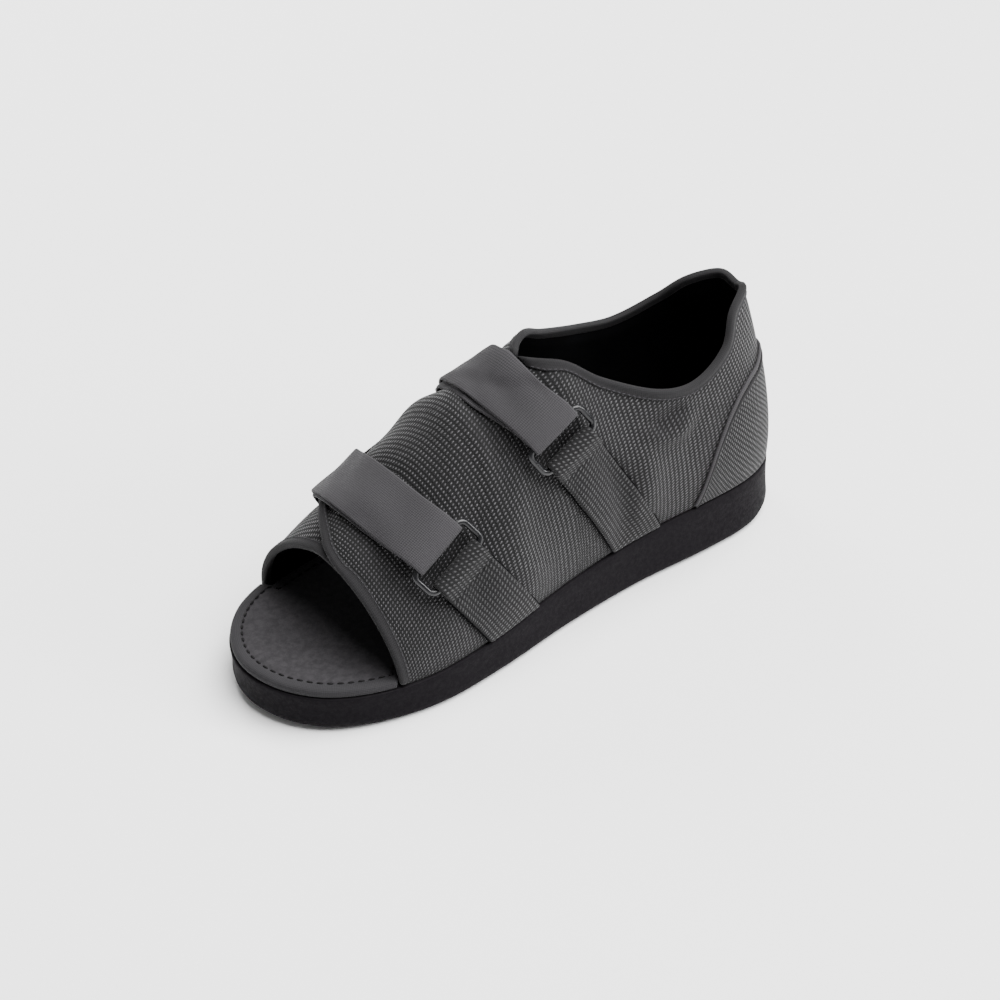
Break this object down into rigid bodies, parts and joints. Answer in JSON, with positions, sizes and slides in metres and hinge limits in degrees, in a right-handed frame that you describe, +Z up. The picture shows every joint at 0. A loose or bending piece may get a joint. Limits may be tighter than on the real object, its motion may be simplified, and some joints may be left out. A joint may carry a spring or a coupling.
{
  "type": "post operative shoe",
  "caption": "Open toe post operative shoe with a wedge foam sole, a mesh upper whose flaps lap over the instep, and hook and loop straps turned back through plastic rings.",
  "frame": {"origin": "on the floor, under the middle of the sole's length and width", "axes": "+X towards the toe, +Y towards the side with the rings, +Z up"},
  "size_m": [0.2903, 0.111, 0.1355],
  "materials": {
    "sole_foam": "matte closed cell foam",
    "insole_nubuck": "matte brushed cloth",
    "upper_mesh": "coarse glossy woven mesh",
    "counter_mesh": "coarse glossy woven mesh",
    "edge_tape": "fine grey woven tape, stitched",
    "strap_webbing": "fine grey woven tape with a soft sheen",
    "band_mesh": "coarse glossy woven mesh",
    "ring_plastic": "smooth and glossy"
  },
  "bodies": {
    "root": {"sole": "sole_foam", "insole": "insole_nubuck", "upper": "upper_mesh", "heel_counter": "counter_mesh", "collar_tape": "edge_tape", "toe_tape_ring_side": "edge_tape", "toe_tape_far_side": "edge_tape", "flap_tape": "edge_tape", "toe_strap": "strap_webbing", "toe_band": "band_mesh", "toe_ring": "ring_plastic", "instep_strap": "strap_webbing", "instep_band": "band_mesh", "instep_ring": "ring_plastic"}
  },
  "joints": []
}
